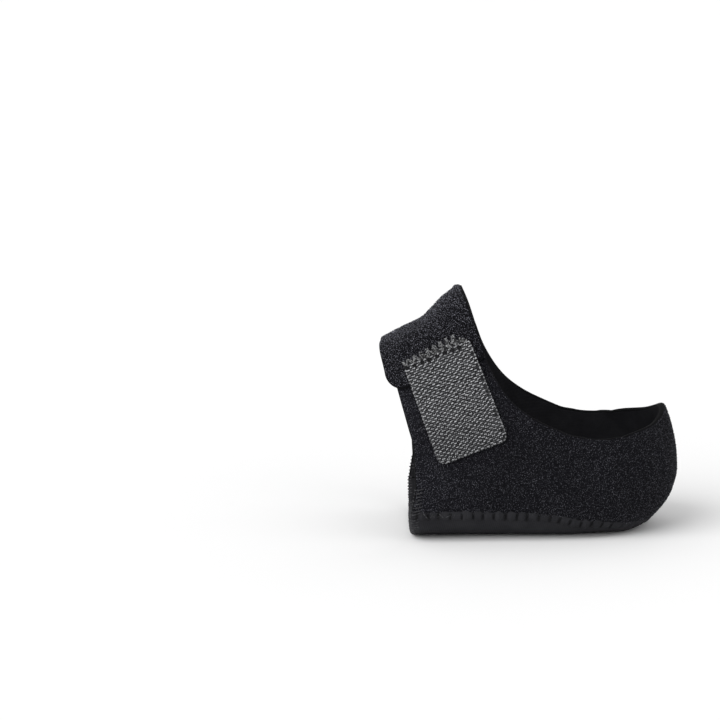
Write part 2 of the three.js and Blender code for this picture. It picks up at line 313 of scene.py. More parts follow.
# shares 0 to 1, even inside and closer together at the two rounded ends
def rimShares(count, length, rim):
    turns = np.linspace(0, math.pi / 2, sheet["rimSteps"], endpoint=False)
    ends = rim * (1 - np.cos(turns)) / length
    inside = np.linspace(rim / length, 1 - rim / length, count)
    return np.concatenate([ends, inside, (1 - ends)[::-1]])


# how full a sheet is, from its edge to where its rounded rim ends
def rimSwell(far, power):
    return (1 - (1 - far) ** power) ** (1 / power)


# how far each point of a grid is from the grid's nearest edge
def edgeDistance(points):
    down, across = lengthsAlong(points, 0), lengthsAlong(points, 1)
    return np.minimum.reduce([down, down[-1:] - down, across, across[:, -1:] - across])


# a closed sheet between two offsets from the form, with rounded edges; materials are for
# its outer side, its inner side and its cut edge, which on the cover and strap carries painted shade
def sheetObject(name, place, low, high, rim, materials, uvs):
    low, high = np.broadcast_arrays(low, high)
    middle = (low + high) / 2
    half = (high - low) / 2
    far = np.clip(edgeDistance(layerPoint(place, middle)) / rim, 0, 1)
    swell = rimSwell(far, sheet["edgePower"])
    outer = layerPoint(place, middle + half * swell)
    inner = layerPoint(place, middle - half * swell)
    rows, columns = far.shape
    outerIndex = gridIndex(rows, columns)
    innerIndex = outerIndex.copy()
    innerIndex[1:-1, 1:-1] = rows * columns + gridIndex(rows - 2, columns - 2)
    points = np.vstack([outer.reshape(-1, 3), inner[1:-1, 1:-1].reshape(-1, 3)])
    allUvs = np.vstack([uvs.reshape(-1, 2), uvs[1:-1, 1:-1].reshape(-1, 2)])
    outerFaces = gridFaces(outerIndex)
    faces = np.vstack([outerFaces, gridFaces(innerIndex)[:, ::-1]])
    fromEdge = far.ravel()[outerFaces].mean(axis=1)
    sides = np.repeat([0, 1], len(outerFaces))
    faceMaterials = np.where(np.tile(fromEdge, 2) < sheet["edgeShare"], 2, sides)
    return tidyMesh(newObject(name, points, faces, materials, allUvs, faceMaterials))


def clothUvs(place):
    return np.stack([place[..., 0], place[..., 1] * form["girth"]], axis=-1) / sheet["uvUnit"]


# gentle unevenness of cloth: a few long waves in fixed directions
waves = {"count": 7, "shortest": 9, "longest": 28}


def unevenness(x, z, height, seed):
    draw = np.random.default_rng(seed)
    total = 0
    for _ in range(waves["count"]):
        turn, phase = draw.uniform(0, 2 * math.pi, 2)
        wavelength = draw.uniform(waves["shortest"], waves["longest"])
        along = x * math.cos(turn) + z * math.sin(turn)
        total = total + np.sin(along * 2 * math.pi / wavelength + phase)
    return height * total / waves["count"]


# Node helpers

def setInputs(node, inputs):
    for key, value in inputs.items():
        if isinstance(value, bpy.types.NodeSocket):
            node.id_data.links.new(value, node.inputs[key])
        else:
            node.inputs[key].default_value = value


def nodeSetter(tree):
    def add(kind, inputs=None, **settings):
        node = tree.nodes.new(kind)
        for key, value in settings.items():
            setattr(node, key, value)
        setInputs(node, inputs or {})
        return node

    return add


def calc(add, operation, *values):
    return add("ShaderNodeMath", dict(enumerate(values)), operation=operation).outputs[0]


def vector(add, x, y, z):
    return add("ShaderNodeCombineXYZ", {"X": x, "Y": y, "Z": z}).outputs[0]


def newMaterial(name):
    material = bpy.data.materials.new(name)
    material.use_nodes = True
    tree = material.node_tree
    return material, nodeSetter(tree), tree.nodes["Principled BSDF"]


# a noise on object coordinates, and the colour that it gives between two tones
def speckle(add, coords, dark, light, scale, low, high, detail=2.0, roughness=0.6):
    inputs = {"Vector": coords, "Scale": scale, "Detail": detail, "Roughness": roughness}
    noise = add("ShaderNodeTexNoise", inputs).outputs["Fac"]
    ramp = add("ShaderNodeValToRGB", {"Fac": noise})
    for element, place, tone in zip(ramp.color_ramp.elements, (low, high), (dark, light)):
        element.position = place
        element.color = (*tone, 1)
    return noise, ramp.outputs["Color"]


# painted light and shade: the colour's tone changes along one axis, from fade["tone"] to the full one
def paintedLightColour(add, colour, coords, fade):
    if fade is None:
        return colour
    place = add("ShaderNodeSeparateXYZ", {"Vector": coords}).outputs[fade["axis"]]
    reach = {"Value": place, "From Min": fade["from"], "From Max": fade["to"], "To Min": fade["tone"]}
    tone = add("ShaderNodeMapRange", reach, interpolation_type="SMOOTHSTEP").outputs["Result"]
    return add("ShaderNodeVectorMath", {0: colour, "Scale": tone}, operation="SCALE").outputs["Vector"]


def relief(add, height, strength, depth):
    bump = add("ShaderNodeBump", {"Height": height, "Strength": strength, "Distance": depth})
    return bump.outputs["Normal"]


plushLook = {
    "specks": {"scale": 1600.0, "low": 0.45, "high": 0.64},  # about one speck for each loop
    # slow change of tone over the cloth
    "slow": {"dark": (0.78, 0.78, 0.78), "light": (1, 1, 1), "scale": 60.0, "low": 0.3, "high": 0.7},
    "depth": 0.0006, "roughness": 0.9, "gloss": 0.05, "sheen": 0.02, "sheenRoughness": 0.5,
}


# fade, when given, is painted light along one axis of the object
def plushMaterial(name, look, brightness=1.0, fade=None):
    material, add, shader = newMaterial(name)
    coords = add("ShaderNodeTexCoord").outputs["Object"]
    dark = [channel * brightness for channel in look["dark"]]
    light = [channel * brightness for channel in look["light"]]
    noise, specks = speckle(add, coords, dark, light, **plushLook["specks"])
    _, slow = speckle(add, coords, **plushLook["slow"])
    mixed = add("ShaderNodeMix", {0: 1, 6: specks, 7: slow}, data_type="RGBA", blend_type="MULTIPLY")
    setInputs(shader, {
        "Base Color": paintedLightColour(add, mixed.outputs[2], coords, fade),
        "Normal": relief(add, noise, look["bump"], plushLook["depth"]),
        "Roughness": plushLook["roughness"], "Specular IOR Level": plushLook["gloss"],
        "Sheen Weight": plushLook["sheen"], "Sheen Roughness": plushLook["sheenRoughness"],
    })
    return material


knitLook = {
    "ribs": 160.0, "courses": 120.0,  # for each unit of the UV map
    "courseRise": 0.6,  # as a share of the ribs' rise
    "specks": {"scale": 140.0, "low": 0.35, "high": 0.68, "detail": 4.0},
    "depth": 0.0002, "roughness": 0.72, "gloss": 0.08,
}


# smooth knit: fine ribs along the piece, crossed by shallower courses
def knitMaterial(name, dark, light, bump):
    material, add, shader = newMaterial(name)
    coords = add("ShaderNodeTexCoord").outputs
    uv = add("ShaderNodeSeparateXYZ", {"Vector": coords["UV"]}).outputs

    def wave(value, count):
        return calc(add, "SINE", calc(add, "MULTIPLY", value, count * 2 * math.pi))

    courses = calc(add, "MULTIPLY", wave(uv["X"], knitLook["courses"]), knitLook["courseRise"])
    height = calc(add, "ADD", wave(uv["Y"], knitLook["ribs"]), courses)
    setInputs(shader, {
        "Base Color": speckle(add, coords["Object"], dark, light, **knitLook["specks"])[1],
        "Normal": relief(add, height, bump, knitLook["depth"]),
        "Roughness": knitLook["roughness"], "Specular IOR Level": knitLook["gloss"],
    })
    return material


yarnLook = {"low": 0.34, "high": 0.7, "bump": 0.3, "depth": 0.0002, "gloss": 0.12}


# fade, when given, is painted shade along one axis of the object
def yarnMaterial(name, dark, light, scale, roughness, fade=None):
    material, add, shader = newMaterial(name)
    coords = add("ShaderNodeTexCoord").outputs["Object"]
    noise, colour = speckle(add, coords, dark, light, scale, yarnLook["low"], yarnLook["high"])
    setInputs(shader, {
        "Base Color": paintedLightColour(add, colour, coords, fade),
        "Normal": relief(add, noise, yarnLook["bump"], yarnLook["depth"]),
        "Roughness": roughness, "Specular IOR Level": yarnLook["gloss"],
    })
    return material


paintedFrontLight = {"axis": "X", "from": -0.050, "to": -0.015, "tone": 1.45}  # painted light: paler towards the front edge, where more light falls on the cover
paintedEndShade = {"axis": "Z", "from": 0.036, "to": 0.064, "tone": 0.69}  # painted shade: darker towards the lower, free end, where less light falls
groundLook = {"dark": (0.0055, 0.0055, 0.0073), "light": (0.011, 0.011, 0.0142), "bump": 0.8}
loopLook = {"dark": (0.0060, 0.0060, 0.0080), "light": (0.105, 0.106, 0.122), "bump": 0.4}
# the cut edge's own dark tone, made darker still with painted shade along the rims
edgeAndShadeLook = {"dark": (0.0022, 0.0022, 0.0027), "light": (0.0045, 0.0045, 0.0055), "bump": 0.3}

plushGround = plushMaterial("plush_ground", groundLook, fade=paintedFrontLight)
plushLoops = plushMaterial("plush_loops", loopLook, fade=paintedFrontLight)
# the brighter loops are partly for contrast and partly painted light on the strap's upward-facing top
# the strap's plush is the cover's, with a darker ground for more contrast and brighter loops;
strapGround = plushMaterial("strap_ground", groundLook, brightness=0.55)
strapLoops = plushMaterial("strap_loops", loopLook, brightness=2.15)
cutEdgeAndShade = plushMaterial("cut_edge_and_shade", edgeAndShadeLook)
liningKnit = knitMaterial(
    "lining_knit", dark=(0.0085, 0.0085, 0.0100), light=(0.0130, 0.0130, 0.0150), bump=0.12
)
soleKnit = knitMaterial(
    "sole_knit", dark=(0.0165, 0.0165, 0.019), light=(0.0225, 0.0225, 0.0255), bump=0.2
)
# black thread of the seams, also used for the dark beads of painted shade in the stitch holes
blackThreadAndHoleShade = yarnMaterial(
    "black_thread_and_hole_shade", dark=(0.0030, 0.0030, 0.0036), light=(0.0090, 0.0090, 0.0105),
    scale=1400.0, roughness=0.6,
)
edgeThread = yarnMaterial(
    "edge_thread", dark=(0.012, 0.012, 0.0134), light=(0.062, 0.062, 0.067), scale=1100.0, roughness=0.6
)
tapeGround = yarnMaterial(
    "tape_ground", dark=(0.003, 0.003, 0.0033), light=(0.030, 0.0305, 0.033), scale=1000.0, roughness=0.8
)
tapeYarn = yarnMaterial(
    "tape_yarn", dark=(0.20, 0.203, 0.213), light=(0.67, 0.676, 0.70),
    scale=1500.0, roughness=0.5, fade=paintedEndShade,
)
tapeUnderYarn = yarnMaterial(
    "tape_under_yarn", dark=(0.019, 0.0193, 0.0207), light=(0.15, 0.152, 0.16),
    scale=1500.0, roughness=0.6, fade=paintedEndShade,
)
tapeEdgeYarn = yarnMaterial(
    "tape_edge_yarn", dark=(0.045, 0.0455, 0.048), light=(0.38, 0.383, 0.395),
    scale=800.0, roughness=0.6, fade=paintedEndShade,
)
tuftThread = yarnMaterial(
    "tuft_thread", dark=(0.008, 0.0081, 0.0084), light=(0.36, 0.363, 0.37), scale=1100.0, roughness=0.65
)
print("materials made")


# Geometry node trees

def newTree(name, inputs):
    tree = bpy.data.node_groups.new(name, "GeometryNodeTree")
    for label, kind in [("Geometry", "Geometry"), *inputs]:
        tree.interface.new_socket(label, in_out="INPUT", socket_type=f"NodeSocket{kind}")
    tree.interface.new_socket("Geometry", in_out="OUTPUT", socket_type="NodeSocketGeometry")
    add = nodeSetter(tree)
    return tree, add, add("NodeGroupInput").outputs


# a thread that comes out of the cloth, arches over and goes back in: span along X, rise along Z
def archShape(add, given):
    arc = add(
        "GeometryNodeCurveArc",
        {"Resolution": given["Steps"], "Radius": 1.0, "Start Angle": 0.0, "Sweep Angle": math.pi},
        mode="RADIUS",
    )
    quarter = (math.pi / 2, 0, 0)
    upright = add("GeometryNodeTransform", {"Geometry": arc.outputs["Curve"], "Rotation": quarter})
    size = vector(add, calc(add, "MULTIPLY", given["Span"], 0.5), 1.0, given["Rise"])
    shift = vector(add, 0.0, 0.0, calc(add, "MULTIPLY", given["Sunk"], -1.0))
    placed = {"Geometry": upright.outputs[0], "Scale": size, "Translation": shift}
    arch = add("GeometryNodeTransform", placed)
    circle = {"Resolution": given["Sides"], "Radius": given["Thread"]}
    ring = add("GeometryNodeCurvePrimitiveCircle", circle, mode="RADIUS")
    tube = {"Curve": arch.outputs[0], "Profile Curve": ring.outputs["Curve"], "Fill Caps": True}
    return add("GeometryNodeCurveToMesh", tube).outputs["Mesh"]


# the shape on each point, leaning and sized at random, as one painted mesh
def finishTree(tree, add, given, points, shape, rotation, spin):
    low = calc(add, "MULTIPLY", given["Lean"], -1.0)
    lean = {
        "Min": vector(add, low, low, 0.0), "Max": vector(add, given["Lean"], given["Lean"], spin),
        "Seed": given["Seed"],
    }
    turn = add("FunctionNodeRandomValue", lean, data_type="FLOAT_VECTOR").outputs["Value"]
    euler = add("FunctionNodeEulerToRotation", {"Euler": turn}).outputs[0]
    turned = add(
        "FunctionNodeRotateRotation", {"Rotation": rotation, "Rotate By": euler}, rotation_space="LOCAL"
    )
    least, most = (calc(add, sign, 1.0, given["Vary"]) for sign in ("SUBTRACT", "ADD"))
    size = add("FunctionNodeRandomValue", {2: least, 3: most, "Seed": given["Seed"]}, data_type="FLOAT")
    instances = add(
        "GeometryNodeInstanceOnPoints",
        {"Points": points, "Instance": shape, "Rotation": turned.outputs[0], "Scale": size.outputs[1]},
    )
    realized = add("GeometryNodeRealizeInstances", {"Geometry": instances.outputs[0]})
    smooth = add("GeometryNodeSetShadeSmooth", {"Geometry": realized.outputs[0]})
    paint = {"Geometry": smooth.outputs[0], "Material": given["Material"]}
    painted = add("GeometryNodeSetMaterial", paint)
    add("NodeGroupOutput", {0: painted.outputs[0]})
    return tree


randomInputs = [("Lean", "Float"), ("Vary", "Float"), ("Seed", "Int"), ("Material", "Material")]
archInputs = [
    ("Span", "Float"), ("Rise", "Float"), ("Sunk", "Float"), ("Thread", "Float"),
    ("Steps", "Int"), ("Sides", "Int"), *randomInputs,
]
floatInputs = [
    ("Length", "Float"), ("Width", "Float"), ("Height", "Float"),
    ("Segments", "Int"), ("Rings", "Int"), *randomInputs,
]


# loops scattered over a surface, no two closer than Spacing
def napTree():
    tree, add, given = newTree("nap_of_loops", [("Spacing", "Float"), ("Density", "Float"), *archInputs])
    points = add(
        "GeometryNodeDistributePointsOnFaces",
        {
            "Mesh": given["Geometry"], "Distance Min": given["Spacing"],
            "Density Max": given["Density"], "Seed": given["Seed"],
        },
        distribute_method="POISSON",
    ).outputs
    shape = archShape(add, given)
    return finishTree(tree, add, given, points["Points"], shape, points["Rotation"], 2 * math.pi)


# which way an instance stands: its Z along the point's outward vector, its X along its across vector
def standing(add):
    outward = add("GeometryNodeInputNamedAttribute", {"Name": "outward"}, data_type="FLOAT_VECTOR")
    across = add("GeometryNodeInputNamedAttribute", {"Name": "across"}, data_type="FLOAT_VECTOR")
    return add(
        "FunctionNodeAxesToRotation",
        {"Primary Axis": outward.outputs[0], "Secondary Axis": across.outputs[0]},
        primary_axis="Z", secondary_axis="X",
    ).outputs[0]


# one arched stitch on each point
def stitchTree():
    tree, add, given = newTree("row_of_stitches", archInputs)
    return finishTree(tree, add, given, given["Geometry"], archShape(add, given), standing(add), 0.0)


# one yarn float on each point, a slim bead that lies along the point's across vector
def floatTree():
    tree, add, given = newTree("woven_floats", floatInputs)
    sphere = {"Segments": given["Segments"], "Rings": given["Rings"], "Radius": 0.5}
    ball = add("GeometryNodeMeshUVSphere", sphere).outputs["Mesh"]
    size = vector(add, given["Height"], given["Width"], given["Length"])
    slim = add("GeometryNodeTransform", {"Geometry": ball, "Scale": size}).outputs[0]
    lying = add("GeometryNodeTransform", {"Geometry": slim, "Rotation": (0, math.pi / 2, 0)}).outputs[0]
    return finishTree(tree, add, given, given["Geometry"], lying, standing(add), 0.0)


# runs a tree on a base mesh and keeps the result as a plain mesh object
def growPiece(name, base, tree, values):
    modifier = base.modifiers.new("grow", "NODES")
    modifier.node_group = tree
    for socket in tree.interface.items_tree:
        if socket.in_out == "INPUT" and socket.name in values:
            modifier[socket.identifier] = values[socket.name]
    evaluated = base.evaluated_get(bpy.context.evaluated_depsgraph_get())
    mesh = bpy.data.meshes.new_from_object(evaluated)
    base.modifiers.remove(modifier)
    mesh.name = name
    for attribute in ("outward", "across"):
        if attribute in mesh.attributes:
            mesh.attributes.remove(mesh.attributes[attribute])
    baseMesh = base.data
    bpy.data.objects.remove(base)
    bpy.data.meshes.remove(baseMesh)
    return linked(name, mesh)


# a mesh of loose points that carry the way their instance stands
def pointsObject(name, points, outward, across):
    obj = newObject(name, points, [], [])
    for label, vectors in (("outward", outward), ("across", across)):
        attribute = obj.data.attributes.new(label, "FLOAT_VECTOR", "POINT")
        attribute.data.foreach_set("vector", np.asarray(vectors, np.float32).ravel())
    return obj


nap = napTree()
stitches = stitchTree()
floats = floatTree()
print("node trees made")


# Heel cover

cover = {
    "cloth": 2.6,
    "wingStart": 26 / 36,  # share of a side at which the collar ends and the wing's top begins
    "leanFrom": 0.62,  # share of a side from which the grid leans towards the front edge
    "sideColumns": 144,
    "rows": 54,
    "rim": 0.9,
    "height": 55.0,
    "sideLength": 110.0,
    "columnGap": 0.002,  # least step between the even columns and those of the front rim
    "seamGap": 0.03 / 45,
    "unevenness": 0.35,
    "waveAcross": 2,  # the waves change faster across the form than along it
    "waveSeed": 11,
    "napRoom": 0.2,  # how far the ground lies in, to leave room for the loops
    "flat": (0.205, 0.088),
    "area": 0.0121,
}


def topEdge(share):
    onCollar = collarLine(share / cover["wingStart"])
    along = np.clip((share - cover["wingStart"]) / (1 - cover["wingStart"]), 0, 1)[..., None]
    return np.where((share <= cover["wingStart"])[..., None], onCollar, lerp(wingRear, wingFront, along))


# a place on the cover: side goes from -1 at the outer front edge round the heel to 1 at the inner one
def coverPlace(side, height):
    share = np.abs(side)
    lean = smoothStep(share, cover["leanFrom"], 1)[..., None]
    low, high = seamLine(share), topEdge(share)
    frontLow, frontHigh = seamLine(np.array(1.0)), topEdge(np.array(1.0))
    tall = height[..., None]
    place = lerp(low, high, tall) + lean * (frontLine(height) - lerp(frontLow, frontHigh, tall))
    return onSide(place, side)


def coverWave(place):
    x, y, z = np.moveaxis(formPoint(place[..., 0], place[..., 1]), -1, 0)
    wave = unevenness(x + cover["waveAcross"] * y, z, cover["unevenness"], cover["waveSeed"])
    return wave - cover["napRoom"]


halfSides = np.linspace(0, 1, cover["sideColumns"] + 1)
frontRim = 1 - rimShares(2, cover["sideLength"], cover["rim"])[:sheet["rimSteps"]]
evenSides = halfSides[halfSides < frontRim.min() - cover["columnGap"]]
halfSides = np.unique(np.concatenate([evenSides, frontRim]))
coverSides = np.concatenate([-halfSides[::-1], halfSides[1:]])
coverHeights = lerp(cover["seamGap"], 1, rimShares(cover["rows"], cover["height"], cover["rim"]))
coverPlaces = coverPlace(*np.meshgrid(coverSides, coverHeights))
heelCover = sheetObject(
    "plush_heel_cover", coverPlaces, -cover["cloth"], coverWave(coverPlaces), cover["rim"],
    [plushGround, liningKnit, cutEdgeAndShade], clothUvs(coverPlaces),
)
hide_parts("heel_cover")
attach(heelCover, "root")
print("heel cover made:", faceCount(heelCover), "faces")


# Sole

sole = {
    "cloth": 2.6, "pad": 2.6, "padFade": 18.0, "padPower": 4,
    "span": 60.0, "poleRun": 20.0, "frontRun": -48.4, "frontBow": 0.9, "leanFrom": 0.85,
    "rows": 26, "rim": 0.8, "frontRim": 1.8,
    "poleStep": 0.02,  # rows below this step lie on the middle line
    "underSeam": 0.5 / 30,  # how far the edge runs on under the seam
}


# a place on the sole: step goes from 0 on its middle line to 1 at the seam
def solePlace(side, step):
    share = np.abs(side)
    edge = seamLine(share)
    lean = smoothStep(share, sole["leanFrom"], 1)
    middleRun = lerp(np.minimum(edge[..., 0], sole["poleRun"]), sole["frontRun"], lean)
    middle = np.stack([middleRun, np.zeros_like(middleRun)], axis=-1)
    place = lerp(middle, edge, (step * (1 + sole["underSeam"]))[..., None])
    place[..., 0] -= sole["frontBow"] * lean * np.sin(math.pi * step)
    return onSide(place, side)


def soleObject():
    rows = sole["rows"]
    rimRows = 1 - rimShares(rows, sole["span"], sole["rim"])[:rows + sheet["rimSteps"]] * 2
    evenRows = np.linspace(0, 1 - 2 * sole["rim"] / sole["span"], rows)
    steps = np.unique(np.concatenate([evenRows, np.clip(rimRows, 0, 1)]))
    side, step = np.meshgrid(coverSides, steps)
    place = solePlace(side, step)
    padGrows = smoothStep(place[..., 0], sole["frontRun"], sole["frontRun"] + sole["padFade"])
    padding = sole["pad"] * padGrows * (1 - step ** sole["padPower"])
    surface = layerPoint(place, 0)
    down, across = lengthsAlong(surface, 0), lengthsAlong(surface, 1)
    toFront = np.minimum(across, across[:, -1:] - across)
    toFront = np.where(step < sole["poleStep"], np.abs(place[..., 0] - sole["frontRun"]), toFront)
    fromSeam = np.clip((down[-1:] - down) / sole["rim"], 0, 1)
    fromFront = np.clip(toFront / sole["frontRim"], 0, 1)
    swell = np.minimum(rimSwell(fromSeam, sheet["edgePower"]), rimSwell(fromFront, 2))
    half = sole["cloth"] / 2
    outer = layerPoint(place, -half + half * swell)
    inner = layerPoint(place, -half - (half + padding) * swell)
    index = gridIndex(*step.shape)
    points = np.vstack([outer.reshape(-1, 3), inner.reshape(-1, 3)])
    faces = np.vstack([gridFaces(index), gridFaces(index + index.size)[:, ::-1]])
    uvs = np.vstack([clothUvs(place).reshape(-1, 2)] * 2)
    faceMaterials = np.repeat([0, 1], len(faces) // 2)
    return tidyMesh(newObject("padded_sole", points, faces, [soleKnit, liningKnit], uvs, faceMaterials))


paddedSole = soleObject()
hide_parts("sole_pad")
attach(paddedSole, "root")
print("sole made:", faceCount(paddedSole), "faces")


# Strap

strap = {
    "length": 56.0, "width": 42.0, "cloth": 2.6, "endCloth": 1.5, "gap": 0.3, "rootLap": 0.6,
    "ridgeFrontX": -60.2, "ridgeRearX": -27.6, "endFront": (-56.9, 58.9), "endRear": (-18.0, 74.0),
    "frontCorner": 8.0, "rearCorner": 2.5, "rows": 66, "columns": 52, "rim": 0.45,
    # shares of the length between which the cloth is pressed thin, lies loose and is drawn flat
    "pressedFrom": 0.68, "pressedTo": 0.84, "looseFrom": 0.15, "looseTo": 0.6, "flatFrom": 0.8,
    # shares of the way from the ridge to the wing's top between which the strap climbs onto the
    # outer wing, and between which its wave dies out
    "liftFrom": 0.1, "liftTo": 0.85, "waveFrom": 0.3, "waveTo": 0.8,
    "unevenness": 0.25, "waveSeed": 5, "napRoom": 0.3,
    "rollRise": 0.5, "rollEdgeRise": -0.85, "rollWidth": 3.8, "rollStep": 1.6,  # roll of the rear edge
    "rearThin": 1.0,  # how much thinner the rear edge is where it crosses the ridge
    "flat": (0.042, 0.056),
}
# columns: share of the width from the rear edge, how far the strap stands off the form on the ridge
strapWave = np.array([(0, 1.1), (0.1, 1.4), (0.24, 1.4), (0.37, 0), (0.5, -1.2), (0.7, -0.4), (1, 0.8)])


def cornerInset(distance, radius):
    reach = np.maximum(0, radius - distance)
    return radius - np.sqrt(np.maximum(0, radius ** 2 - reach ** 2))


def acrossTop(place):
    return np.array([place[0], 2 * math.pi - place[1]])


def strapLine(wingTop, ridgeX, end):
    root = wingTop - (0, strap["rootLap"] / form["girth"])
    return lineOnForm([root, ridgeAt(ridgeX), acrossTop(placeOnForm(*end))])


strapFront = strapLine(wingFront, strap["ridgeFrontX"], strap["endFront"])
strapRear = strapLine(wingRear, strap["ridgeRearX"], strap["endRear"])


# place, height of the underside and thickness of the strap, from its rear edge to its front edge
# and from its sewn root to its free end
def strapAt(step, share):
    left = strap["length"] * (1 - share)
    rear = cornerInset(left, strap["rearCorner"]) / strap["width"]
    front = 1 - cornerInset(left, strap["frontCorner"]) / strap["width"]
    across = lerp(rear, front, step)
    fromRear = across * strap["width"]
    place = lerp(strapRear(share), strapFront(share), across[..., None])
    wingTop = lerp(wingRear[1], wingFront[1], across)
    towardsWing = (place[..., 1] - math.pi) / (math.pi - wingTop)
    onRidge = 1 - smoothStep(np.abs(towardsWing), strap["waveFrom"], strap["waveTo"])
    overWing = smoothStep(towardsWing, strap["liftFrom"], strap["liftTo"])
    lift = lerp(-strap["cloth"], strap["gap"], overWing)
    lift = lift + readTable(strapWave, across)[0] * onRidge
    pressed = smoothStep(share, strap["pressedFrom"], strap["pressedTo"])
    thickness = lerp(strap["cloth"], strap["endCloth"], pressed)
    wave = unevenness(fromRear, share * strap["length"], strap["unevenness"], strap["waveSeed"])
    drawnFlat = smoothStep(share, strap["looseTo"], strap["flatFrom"])
    loose = smoothStep(share, 0.0, strap["looseFrom"]) * (1 - drawnFlat)
    rollTop = strap["rollWidth"] - strap["rollStep"]
    roll = lerp(strap["rollEdgeRise"], strap["rollRise"], smoothStep(fromRear, 0, rollTop))
    roll = roll * (1 - smoothStep(fromRear, rollTop, strap["rollWidth"])) * loose
    thin = strap["rearThin"] * onRidge * (1 - smoothStep(fromRear, 0, strap["rollWidth"]))
    return place, lift + np.maximum(0, wave) * loose + thin, thickness + roll - thin - strap["napRoom"]


strapSteps = rimShares(strap["columns"], strap["width"], strap["rim"])
strapShares = rimShares(strap["rows"], strap["length"], strap["rim"])
strapPlaces, strapLow, strapThickness = strapAt(*np.meshgrid(strapSteps, strapShares))
instepStrap = sheetObject(
    "instep_strap_plush", strapPlaces, strapLow, strapLow + strapThickness, strap["rim"],
    [strapGround, liningKnit, cutEdgeAndShade], clothUvs(strapPlaces),
)
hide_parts("instep_strap")
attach(instepStrap, "root")
print("strap made:", faceCount(instepStrap), "faces")


# Hook tape patch

patch = {
    "length": 46.0, "width": 31.0, "tape": 1.4, "gap": 0.3,
    "topFront": (-50.9, 69.8), "topRear": (-24.8, 81.2),
    "endFront": (-37.1, 31.9), "endRear": (-9.5, 42.3),
    "corner": 3.6, "topCorner": 3.2, "sewnShare": 0.24, "settledShare": 0.44,
    "rows": 92, "columns": 62, "rim": 0.7, "smallStep": 0.004,
    "weaveRise": 0.3,  # how far the woven yarns stand over the tape's ground
}
# stitches that sew the patch to the strap: strokes of short threads, from holes along the patch's top
# edge up to tips that reach further out towards its rear edge
zigzag = {
    "pitch": 3.49, "from": 5.3, "to": 29.8, "holeAt": 2.8, "holeDepth": 0.9, "holeWidth": 0.9,
    "tipAtRear": -2.6, "tipAtFront": 0.1, "cornerDrop": 2.2, "cornerReach": 4.0, "base": 1.8,
    "strokesBefore": 3, "strands": 2, "strandGap": 0.7, "threadStep": 0.72, "margin": 0.4,
    "jitter": 0.24, "turn": 0.55, "lift": 0.12,
    "Length": 1.05 * mm, "Width": 0.36 * mm, "Height": 0.5 * mm, "Segments": 6, "Rings": 5,
    "Lean": 0.35, "Vary": 0.3, "Seed": 41, "Material": tuftThread,
}
# painted shade: dark beads sunk in the zigzag's holes, standing for the shade inside them
zigzagHoleShade = {
    "Length": 1.8 * mm, "Width": 1.7 * mm, "Height": 0.5 * mm, "Segments": 8, "Rings": 6,
    "Lean": 0.1, "Vary": 0.2, "Seed": 42, "Material": blackThreadAndHoleShade,
}


# a place on the patch, from its rear edge to its front edge and from its sewn top to its free end
def patchPlace(step, share):
    inset = cornerInset(patch["length"] * (1 - share), patch["corner"]) / patch["width"]
    topInset = cornerInset(patch["length"] * share, patch["topCorner"]) / patch["width"]
    across = lerp(np.maximum(inset, topInset), 1 - inset, step)
    side = []
    for k in (0, 1):
        top = lerp(patch["topRear"][k], patch["topFront"][k], across)
        end = lerp(patch["endRear"][k], patch["endFront"][k], across)
        side.append(lerp(top, end, share))
    return placeOnForm(*side) * (1, -1)


def patchLift(share):
    onStrap = strap["gap"] + strap["endCloth"] + patch["gap"]
    return lerp(onStrap, patch["gap"], smoothStep(share, patch["sewnShare"], patch["settledShare"]))


# distances of the zigzag's holes from the rear edge
holesAcross = np.arange(zigzag["from"], zigzag["to"], zigzag["pitch"])


def holeDents(across, along):
    dents = np.zeros(across.shape)
    for hole in holesAcross:
        squared = (across - hole) ** 2 + (along - zigzag["holeAt"]) ** 2
        dents += zigzag["holeDepth"] * np.exp(-squared / zigzag["holeWidth"] ** 2)
    return dents


patchSteps = rimShares(patch["columns"], patch["width"], patch["rim"])
patchShares = rimShares(patch["rows"], patch["length"], patch["rim"])
stepGrid, shareGrid = np.meshgrid(patchSteps, patchShares)
patchAcross, patchAlong = stepGrid * patch["width"], shareGrid * patch["length"]
patchLow = patchLift(shareGrid)
patchHigh = patchLow + patch["tape"] - patch["weaveRise"] - holeDents(patchAcross, patchAlong)
patchUvs = np.stack([patchAcross, patchAlong], axis=-1) / sheet["uvUnit"]
hookPatch = sheetObject(
    "hook_tape_patch", patchPlace(stepGrid, shareGrid), patchLow, patchHigh, patch["rim"],
    [tapeGround] * 3, patchUvs,
)
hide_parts("hook_patch")
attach(hookPatch, "root")
print("patch made:", faceCount(hookPatch), "faces")

# woven floats on the patch: rows of slanted yarns in pairs, each row moved half a pitch from the last
weave = {
    "pitch": 2.9, "pair": 0.66, "rowPitch": 0.885, "slant": math.radians(25),
    "edge": 0.6, "firstRow": 2.0, "jitter": 0.15, "turn": 0.5, "fromHole": 1.0, "shift": 0.0,
    "overEdge": 0.1,  # how far the second yarn of a pair may pass the margin
    "Length": 0.82 * mm, "Width": 0.46 * mm, "Height": 0.72 * mm, "Segments": 6, "Rings": 5,
    "Lean": 0.2, "Vary": 0.15, "Seed": 3, "Material": tapeYarn,
}
# the darker yarns that show between them
underWeave = {
    **weave, "shift": weave["pitch"] / 2, "Height": 0.6 * mm, "Seed": 5, "Material": tapeUnderYarn,
}
# beads of the woven edges, along the patch's two sides and its free end
selvedge = {
    "inset": 0.25, "pitch": 1.4, "firstRow": 2.4, "sideSteps": 400, "endSteps": 300,
    "Length": 1.0 * mm, "Width": 0.6 * mm, "Height": 0.8 * mm, "Segments": 8, "Rings": 6,
    "Lean": 0.25, "Vary": 0.28, "Seed": 4, "Material": tapeEdgeYarn,
}


